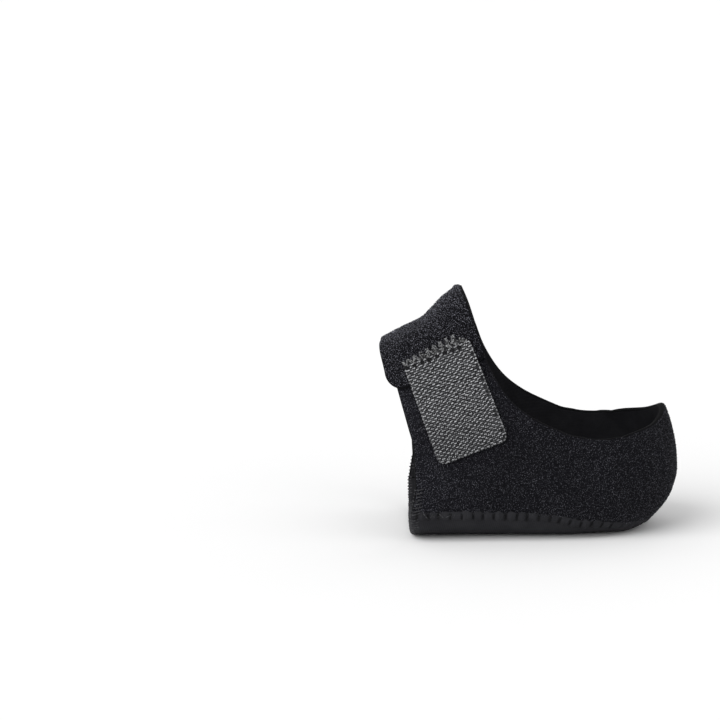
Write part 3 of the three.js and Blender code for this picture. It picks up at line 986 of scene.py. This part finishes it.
# points on the patch at distances from its rear top corner, with the ways outwards, to the front
# edge and to the free end
def onPatch(across, along, offset):
    step, share = across / patch["width"], along / patch["length"]
    small = patch["smallStep"]
    place = patchPlace(step, share)
    lift = patchLift(share) + patch["tape"] - patch["weaveRise"] + offset

    def pointAt(nearStep, nearShare):
        return layerPoint(patchPlace(nearStep, nearShare), lift)

    towardsFront = pointAt(step + small, share) - pointAt(step - small, share)
    towardsEnd = pointAt(step, share + small) - pointAt(step, share - small)
    return layerPoint(place, lift), outwardAt(place), unit(towardsFront), unit(towardsEnd)


# patchPlace rounds the corners, so rows only stay clear of the edges and of the zigzag's holes
def weavePoints(yarns):
    last = patch["width"] - yarns["edge"]
    rows = np.arange(yarns["firstRow"], patch["length"] - yarns["edge"], yarns["rowPitch"])
    places = []
    for i, along in enumerate(rows):
        start = yarns["edge"] + (yarns["shift"] + i * yarns["pitch"] / 2) % yarns["pitch"]
        firsts = np.arange(start, last, yarns["pitch"])
        across = np.concatenate([firsts, firsts + yarns["pair"]])
        across = across[across < last + yarns["overEdge"]]
        places.append(np.stack([across, np.full(across.shape, along)], axis=-1))
    places = np.vstack(places)
    draw = np.random.default_rng(yarns["Seed"])
    places = places + draw.uniform(-yarns["jitter"], yarns["jitter"], places.shape)
    toHoles = np.hypot(places[:, :1] - holesAcross, places[:, 1:] - zigzag["holeAt"])
    places = places[toHoles.min(axis=1) > yarns["fromHole"]]
    slant = (yarns["slant"] + draw.uniform(-yarns["turn"], yarns["turn"], len(places)))[:, None]
    points, outward, front, end = onPatch(places[:, 0], places[:, 1], 0.0)
    return pointsObject("weave_points", points, outward, -front * np.cos(slant) - end * np.sin(slant))


# beads at even steps down one side of the patch, along its free end and up the other side
def selvedgePoints():
    inset = selvedge["inset"]
    front, end = patch["width"] - inset, patch["length"] - inset
    down = np.linspace(selvedge["firstRow"], end, selvedge["sideSteps"])
    over = np.linspace(inset, front, selvedge["endSteps"])
    across = np.concatenate([np.full(down.shape, inset), over, np.full(down.shape, front)])
    along = np.concatenate([down, np.full(over.shape, end), down[::-1]])
    path = onPatch(across, along, 0.0)[0]
    across, along = evenly(path, np.stack([across, along], axis=-1), selvedge["pitch"]).T
    points, outward, _, _ = onPatch(across, along, 0.0)
    return pointsObject("selvedge_points", points, outward, unit(np.gradient(points, axis=0)))


weaveFloats = growPiece("hook_tape_weave", weavePoints(weave), floats, weave)
underFloats = growPiece("hook_tape_under_weave", weavePoints(underWeave), floats, underWeave)
selvedgeBeads = growPiece("hook_tape_selvedge", selvedgePoints(), floats, selvedge)
tapePieces = [weaveFloats, underFloats, selvedgeBeads]
for piece in tapePieces:
    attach(piece, "root")
print("weave made:", faceCount(*tapePieces), "faces")


# Nap of loops on the cover and the strap

loop = {
    "Spacing": 0.49 * mm, "Density": 7e6, "Span": 0.46 * mm, "Rise": 0.42 * mm, "Sunk": 0.12 * mm,
    "Thread": 0.14 * mm, "Steps": 3, "Sides": 3, "Lean": 0.6, "Vary": 0.3,
}
# the parts of the cover and the strap that carry loops, as shares, and the points of their grids
coverLooped = {"side": 0.9965, "columns": 120, "heights": (0.005, 0.985), "rows": 60}
strapLooped = {"steps": (0.015, 0.985), "columns": 54, "shares": (0.015, 0.988), "rows": 72}
# corners, seen from the side, of the cloth that lies over the outer side
patchCorners = [patch["topFront"], patch["topRear"], patch["endRear"], patch["endFront"]]
strapCorners = [(-62, 90), (-20, 99), strap["endRear"], strap["endFront"]]


def insideQuad(x, z, corners):
    inside = np.ones(x.shape, bool)
    for (x0, z0), (x1, z1) in zip(corners, corners[1:] + corners[:1]):
        inside &= (x1 - x0) * (z - z0) - (z1 - z0) * (x - x0) < 0
    return inside


# the surface that carries loops, without the faces that lie under other cloth
def napBase(name, place, lift, quads):
    points = layerPoint(place, lift)
    faces = gridFaces(gridIndex(*points.shape[:2]))
    points = points.reshape(-1, 3)
    x, y, z = points[faces].mean(axis=1).T
    hidden = (y < 0) & np.any([insideQuad(x, z, corners) for corners in quads], axis=0)
    return newObject(name, points, faces[~hidden], [])


def napPiece(name, base, material, seed):
    piece = growPiece(name, base, nap, {**loop, "Seed": seed, "Material": material})
    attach(piece, "root")
    print(name, "made:", faceCount(piece), "faces")
    return piece


napHeights = np.linspace(*coverLooped["heights"], coverLooped["rows"])
for name, ends, seed in (
    ("heel_cover_nap_outer", (-coverLooped["side"], 0), 21),
    ("heel_cover_nap_inner", (0, coverLooped["side"]), 22),
):
    places = coverPlace(*np.meshgrid(np.linspace(*ends, coverLooped["columns"]), napHeights))
    base = napBase(name + "_base", places, coverWave(places), [patchCorners, strapCorners])
    napPiece(name, base, plushLoops, seed)

napSteps = np.linspace(*strapLooped["steps"], strapLooped["columns"])
napShares = np.linspace(*strapLooped["shares"], strapLooped["rows"])
places, low, thickness = strapAt(*np.meshgrid(napSteps, napShares))
strapBase = napBase("strap_nap_base", places, low + thickness, [patchCorners])
strapNap = napPiece("instep_strap_nap", strapBase, strapLoops, 23)


# Seam between cover and sole: a raised band that the stitches pull down at even steps
seam = {
    "halfWidth": 1.9, "shift": -0.3, "rise": 0.75, "sunk": 0.5, "columns": 11,
    "step": 0.25, "smallStep": 0.002, "fineSteps": 1200, "endGap": 0.4, "paintedEndShade": 1.5, "endRise": 0.4,
    "pitch": 4.45, "jitter": 0.5, "seed": 30,
    "dipWidth": 0.85, "dipVary": 0.3, "dipDepth": 0.97, "pinch": 0.25,
    # share of the rise that is left at the upper edge, where the plush covers the band
    "upperRise": 0.25, "upperFrom": -0.2, "upperTo": 0.8, "roundness": 0.8, "underShare": 0.9,
    "ripple": 1.0, "rippleStretch": 5, "uvWidth": 0.08,
    # round the heel the band sinks into the plush
    "heelFrom": 26.0, "heelTo": 42.0, "heelRise": 0.3, "heelSink": 0.35,
}


# points of the seam, with the ways along it, across it and outwards
def seamFrame(side):
    def at(value):
        return onSide(seamLine(np.abs(value)), value)

    place = at(side)
    ahead = np.minimum(side + seam["smallStep"], 1)
    behind = np.maximum(side - seam["smallStep"], -1)
    along = unit(layerPoint(at(ahead), 0) - layerPoint(at(behind), 0))
    outward = outwardAt(place)
    return layerPoint(place, 0), along, unit(np.cross(outward, along)), outward


# the seam's length, and sides and lengths at even steps of it
def seamSteps():
    fine = np.linspace(-1, 1, seam["fineSteps"])
    lengths = lengthsAlong(seamFrame(fine)[0])
    even = np.arange(seam["endGap"], lengths[-1] - seam["endGap"], seam["step"])
    return lengths[-1], np.interp(even, lengths, fine), even


# distances along the seam of its stitches, and how wide each pulls the band in
def seamPulls():
    draw = np.random.default_rng(seam["seed"])
    places = np.arange(seam["pitch"] / 2, seamTotal, seam["pitch"])
    places = places + draw.uniform(-seam["jitter"], seam["jitter"], len(places))
    return places, seam["dipWidth"] + draw.uniform(-seam["dipVary"], seam["dipVary"], len(places))


seamTotal, seamSides, seamLengths = seamSteps()
pullPlaces, pullWidths = seamPulls()


def seamBand():
    points, _, across, outward = seamFrame(seamSides)
    dip = np.exp(-(((seamLengths[:, None] - pullPlaces) / pullWidths) ** 2)).max(axis=1)
    toEnd = np.minimum(seamLengths, seamTotal - seamLengths)
    fade = lerp(seam["endRise"], 1, smoothStep(toEnd, 0, seam["paintedEndShade"]))
    turn = np.linspace(0, math.pi, seam["columns"])
    covered = smoothStep(np.cos(turn), seam["upperFrom"], seam["upperTo"])
    profile = np.sin(turn) ** seam["roundness"] * lerp(1, seam["upperRise"], covered)
    stretched = seamLengths * seam["rippleStretch"]
    ripple = unevenness(stretched, np.zeros_like(stretched), seam["ripple"], seam["seed"])
    heel = lerp(1, seam["heelRise"], smoothStep(points[:, 0], seam["heelFrom"], seam["heelTo"]))
    rise = seam["rise"] * (1 - seam["dipDepth"] * dip) * fade * (1 + ripple) * heel
    half = seam["halfWidth"] * (1 - seam["pinch"] * dip) * (1 + ripple / 2)
    points = (points + across * seam["shift"])[:, None]
    across, outward = across[:, None], outward[:, None]
    top = points + across * np.outer(half, np.cos(turn))[..., None]
    top = top + outward * np.outer(rise, profile)[..., None]
    under = np.outer(half, np.cos(turn[::-1])[1:-1]) * seam["underShare"]
    below = points + across * under[..., None] - outward * seam["sunk"]
    rings = np.concatenate([top, below], axis=1)
    index = gridIndex(*rings.shape[:2])
    looped = np.concatenate([index, index[:, :1]], axis=1)
    faces = gridFaces(looped).tolist() + [index[0].tolist(), index[-1][::-1].tolist()]
    uvAcross, uvAlong = np.meshgrid(
        np.linspace(0, seam["uvWidth"], rings.shape[1]), seamLengths / sheet["uvUnit"]
    )
    uvs = np.stack([uvAlong, uvAcross], axis=-1).reshape(-1, 2)
    return tidyMesh(newObject("sole_seam_band", rings.reshape(-1, 3), faces, [soleKnit], uvs))


seamBandPiece = seamBand()
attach(seamBandPiece, "root")

seamThread = {
    "strands": 2, "strandGap": 0.5, "turn": math.radians(9), "drop": 0.4,
    "Span": 3.3 * mm, "Rise": 0.3 * mm, "Sunk": 0.08 * mm, "Thread": 0.22 * mm, "Steps": 9, "Sides": 6,
    "Lean": 0.08, "Vary": 0.2, "Seed": 31, "Material": blackThreadAndHoleShade,
}
# painted shade: dark beads at the lower ends of the seam's stitches, standing for the shade in their
# holes
seamHole = {
    "drop": 1.1,
    "Length": 2.1 * mm, "Width": 1.05 * mm, "Height": 0.6 * mm, "Segments": 8, "Rings": 6,
    "Lean": 0.15, "Vary": 0.25, "Seed": 32, "Material": blackThreadAndHoleShade,
}
# light slanted threads over the first stretch of the seam, behind the front edge
seamStroke = {
    "from": 4.0, "to": 19.0, "pitch": 1.7, "jitter": 0.8, "slant": math.radians(34),
    "turn": 0.6, "lift": 0.5,
    "Span": 2.2 * mm, "Rise": 0.3 * mm, "Sunk": 0.1 * mm, "Thread": 0.16 * mm, "Steps": 6, "Sides": 5,
    "Lean": 0.15, "Vary": 0.5, "Seed": 33, "Material": edgeThread,
}


def seamFrameAt(lengths):
    return seamFrame(np.interp(lengths, seamLengths, seamSides))


# the strands of a row lie evenly on both sides of its middle
def strandsOf(row):
    return np.arange(row["strands"]) - (row["strands"] - 1) / 2


# signs that change from one stitch to the next
def alternate(count):
    return np.where(np.arange(count) % 2 == 0, 1, -1)


def onSeamPulls(drop):
    points, along, across, outward = seamFrameAt(pullPlaces)
    heel = smoothStep(points[:, :1], seam["heelFrom"], seam["heelTo"])
    sunk = points + across * (seam["shift"] - drop) - outward * heel * seam["heelSink"]
    return sunk, along, across, outward


def seamStitches():
    points, along, across, outward = onSeamPulls(seamThread["drop"])
    parts = []
    for strand in strandsOf(seamThread):
        turn = strand * seamThread["turn"]
        shifted = points + along * strand * seamThread["strandGap"]
        parts.append((shifted, outward, across * math.cos(turn) + along * math.sin(turn)))
    return pointsObject("seam_points", *(np.vstack(part) for part in zip(*parts)))


# dark beads of painted shade in the seam's stitch holes
def seamHoles():
    points, _, across, outward = onSeamPulls(seamHole["drop"])
    return pointsObject("seam_hole_points", points, outward, across)


def seamStrokes():
    draw = np.random.default_rng(seamStroke["Seed"])
    near = np.arange(seamStroke["from"], seamStroke["to"], seamStroke["pitch"])
    far = np.concatenate([near, seamTotal - near])
    far = far + draw.uniform(-seamStroke["jitter"], seamStroke["jitter"], len(far))
    points, along, across, outward = seamFrameAt(far)
    slant = seamStroke["slant"] * alternate(len(far))
    slant = (slant + draw.uniform(-seamStroke["turn"], seamStroke["turn"], len(far)))[:, None]
    raised = points + across * seam["shift"] + outward * seamStroke["lift"]
    slanted = across * np.cos(slant) + along * np.sin(slant)
    return pointsObject("seam_stroke_points", raised, outward, slanted)


seamPieces = [
    growPiece("sole_seam_stitches", seamStitches(), stitches, seamThread),
    growPiece("sole_seam_holes", seamHoles(), floats, seamHole),
    growPiece("sole_seam_threads", seamStrokes(), stitches, seamStroke),
]
for piece in seamPieces:
    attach(piece, "root")
print("sole seam made:", faceCount(seamBandPiece, *seamPieces), "faces")


# Zigzag that sews the patch to the strap, each stroke a row of short threads

def zigzagPoints():
    half = zigzag["pitch"] / 2
    turns = np.arange(zigzag["from"] - zigzag["strokesBefore"] * half, zigzag["to"] + half, half)
    draw = np.random.default_rng(zigzag["Seed"])
    parts = []
    for i, (start, stop) in enumerate(zip(turns[:-1], turns[1:])):
        tipAcross, baseAcross = (start, stop) if i % 2 == 0 else (stop, start)
        tip = lerp(zigzag["tipAtRear"], zigzag["tipAtFront"], tipAcross / patch["width"])
        tip = tip + zigzag["cornerDrop"] * (1 - smoothStep(tipAcross, 0, zigzag["cornerReach"]))
        stroke = zigzag["base"] - tip
        share = np.arange(0, 1, zigzag["threadStep"] / stroke)
        along = lerp(tip, zigzag["base"], share)
        lean = np.full(share.shape, math.atan2(baseAcross - tipAcross, stroke))
        for strand in strandsOf(zigzag):
            across = lerp(tipAcross, baseAcross, share) + strand * zigzag["strandGap"]
            parts.append(np.stack([across, along, lean], axis=-1))
    across, along, lean = np.vstack(parts).T
    across = across + draw.uniform(-zigzag["jitter"], zigzag["jitter"], across.shape)
    across = np.clip(across, zigzag["margin"], patch["width"] - zigzag["margin"])
    along = along + draw.uniform(-zigzag["jitter"], zigzag["jitter"], along.shape)
    lean = (lean + draw.uniform(-zigzag["turn"], zigzag["turn"], lean.shape))[:, None]
    points, outward, front, end = onPatch(across, along, zigzag["lift"])
    return pointsObject("zigzag_points", points, outward, end * np.cos(lean) + front * np.sin(lean))


# dark beads of painted shade in the zigzag's holes
def zigzagHoleShadePoints():
    holesAlong = np.full(holesAcross.shape, zigzag["holeAt"])
    points, outward, _, end = onPatch(holesAcross, holesAlong, -zigzag["holeDepth"] / 2)
    return pointsObject("zigzag_hole_shade_points", points, outward, end)


zigzagPiece = growPiece("patch_zigzag_stitches", zigzagPoints(), floats, zigzag)
zigzagHoleShadePiece = growPiece("patch_zigzag_hole_shade", zigzagHoleShadePoints(), floats, zigzagHoleShade)
for piece in (zigzagPiece, zigzagHoleShadePiece):
    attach(piece, "root")
print("zigzag made:", faceCount(zigzagPiece, zigzagHoleShadePiece), "faces")


# Overlock along the front edge, from the outer side down, under the sole and up the inner side

overlock = {
    "pitch": 1.5, "top": 0.27, "bottom": 0.02, "sideSteps": 40, "underSteps": 60,
    "inset": 0.8, "reach": 2.6, "slant": math.radians(20), "lift": 0.1,
    "pressed": 0.45, "pressedSlope": 0.8,  # under the sole it is pressed in
    "Span": 2.7 * mm, "Rise": 0.24 * mm, "Sunk": 0.06 * mm, "Thread": 0.25 * mm, "Steps": 7, "Sides": 6,
    "Lean": 0.12, "Vary": 0.25, "Seed": 51, "Material": edgeThread,
}
overlockWrap = {**overlock, "Span": 2.3 * mm, "Rise": 1.5 * mm, "Sunk": 1.35 * mm, "Seed": 52}


# places along the front edge, at even steps
def frontEdgePlaces():
    heights = np.linspace(overlock["top"], overlock["bottom"], overlock["sideSteps"])
    steps = np.linspace(1, 0, overlock["underSteps"])
    down = coverPlace(np.full(heights.shape, -1.0), heights)
    under = solePlace(np.full(steps.shape, -1.0), steps)
    half = np.vstack([down, under])
    whole = np.vstack([half, (half * (1, -1))[-2::-1]])
    return evenly(layerPoint(whole, 0), whole, overlock["pitch"])


# bars lie on the cloth beside the edge, wraps go round it
def overlockPoints():
    place = frontEdgePlaces()
    outward = outwardAt(place)
    pressed = overlock["pressed"] * smoothStep(-outward[:, 2], 0, overlock["pressedSlope"])
    surface = layerPoint(place, overlock["lift"] - pressed)
    along = unit(np.gradient(surface, axis=0))
    inwards = unit(np.cross(outward, along))
    upwards = along * np.where(place[:, 1] < 0, -1, 1)[:, None]
    slanted = inwards * math.cos(overlock["slant"]) + upwards * math.sin(overlock["slant"])
    centres = surface + slanted * (overlock["inset"] + overlock["reach"] / 2)
    edges = layerPoint(place, -cover["cloth"] / 2)
    bars = pointsObject("overlock_points", centres, outward, slanted)
    wraps = pointsObject("overlock_wrap_points", edges, -inwards, outward)
    return bars, wraps


barBase, wrapBase = overlockPoints()
overlockPieces = [
    growPiece("front_overlock_bars", barBase, stitches, overlock),
    growPiece("front_overlock_wraps", wrapBase, stitches, overlockWrap),
]
for piece in overlockPieces:
    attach(piece, "root")
print("overlock made:", faceCount(*overlockPieces), "faces")


# Plain seam where the strap meets the top of the inner wing

rootSeam = {
    "pitch": 1.6, "from": 0.05, "to": 0.95, "turn": math.radians(24), "lift": 0.05,
    "Span": 4.4 * mm, "Rise": 0.38 * mm, "Sunk": 0.25 * mm, "Thread": 0.18 * mm, "Steps": 7, "Sides": 5,
    "Lean": 0.04, "Vary": 0.08, "Seed": 61, "Material": blackThreadAndHoleShade,
}


def rootSeamPoints():
    count = int(strap["width"] / rootSeam["pitch"])
    share = np.linspace(rootSeam["from"], rootSeam["to"], count)[:, None]
    place = lerp(wingRear, wingFront, share)
    surface = layerPoint(place, rootSeam["lift"])
    along = unit(np.gradient(surface, axis=0))
    outward = outwardAt(place)
    turn = (rootSeam["turn"] * alternate(count))[:, None]
    across = np.cross(along, outward) * np.cos(turn) + along * np.sin(turn)
    return pointsObject("root_seam_points", surface, outward, across)


rootSeamPiece = growPiece("strap_root_stitches", rootSeamPoints(), stitches, rootSeam)
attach(rootSeamPiece, "root")
print("strap seam made:", faceCount(rootSeamPiece), "faces")


# Floor, light and camera

stage = {
    "floorSize": 60.0, "floorRoughness": 0.8,
    "floorSpecks": {
        "dark": (0.90, 0.90, 0.90), "light": (0.91, 0.91, 0.91), "scale": 3.0, "low": 0.3, "high": 0.7,
    },
    "worldTone": (1.0, 1.0, 1.0, 1), "worldStrength": 0.7,
}


def makeStage():
    material, add, shader = newMaterial("pale_floor")
    coords = add("ShaderNodeTexCoord").outputs["Object"]
    _, colour = speckle(add, coords, **stage["floorSpecks"])
    setInputs(shader, {"Base Color": colour, "Roughness": stage["floorRoughness"]})
    half = stage["floorSize"] / 2 / mm
    corners = [(-half, -half, 0), (half, -half, 0), (half, half, 0), (-half, half, 0)]
    floor = newObject("floor", corners, [(0, 1, 2, 3)], [material])
    world = bpy.data.worlds.new("soft_room")
    bpy.context.scene.world = world
    world.use_nodes = True
    light = {"Color": stage["worldTone"], "Strength": stage["worldStrength"]}
    setInputs(world.node_tree.nodes["Background"], light)


# soft suns, so that the floor is evenly lit: where each stands, its strength and how wide it is
lamps = [
    {"name": "key", "from": (-0.7, -0.6, 0.72), "strength": 2.0, "degrees": 55.0},
    {"name": "fill", "from": (0.7, -0.5, 0.5), "strength": 0.3, "degrees": 60.0},
]


def makeLamps():
    for lamp in lamps:
        data = bpy.data.lights.new(lamp["name"], "SUN")
        data.energy = lamp["strength"]
        data.angle = math.radians(lamp["degrees"])
        obj = linked(lamp["name"], data)
        obj.location = lamp["from"]
        obj.rotation_euler = Vector(lamp["from"]).to_track_quat("Z", "Y").to_euler()


view = {
    "elevation": 10.0, "aim": (-0.0687, 0.0, 0.0685), "distance": 1.2,
    "metresPerPixel": 0.000408, "pixels": 720, "sensor": 36.0, "near": 0.05, "far": 60,
}


def makeCamera():
    data = bpy.data.cameras.new("photo_view")
    data.sensor_width = view["sensor"]
    data.lens = view["sensor"] * view["distance"] / (view["metresPerPixel"] * view["pixels"])
    data.clip_start = view["near"]
    data.clip_end = view["far"]
    camera = linked("photo_view", data)
    tilt = math.radians(view["elevation"])
    back = np.array([0, -math.cos(tilt), math.sin(tilt)])
    camera.location = np.array(view["aim"]) + back * view["distance"]
    camera.rotation_euler = (math.pi / 2 - tilt, 0, 0)
    bpy.context.scene.camera = camera


makeStage()
makeLamps()
makeCamera()
bpy.context.scene.view_settings.view_transform = "Standard"
print("stage, lamps and camera made")
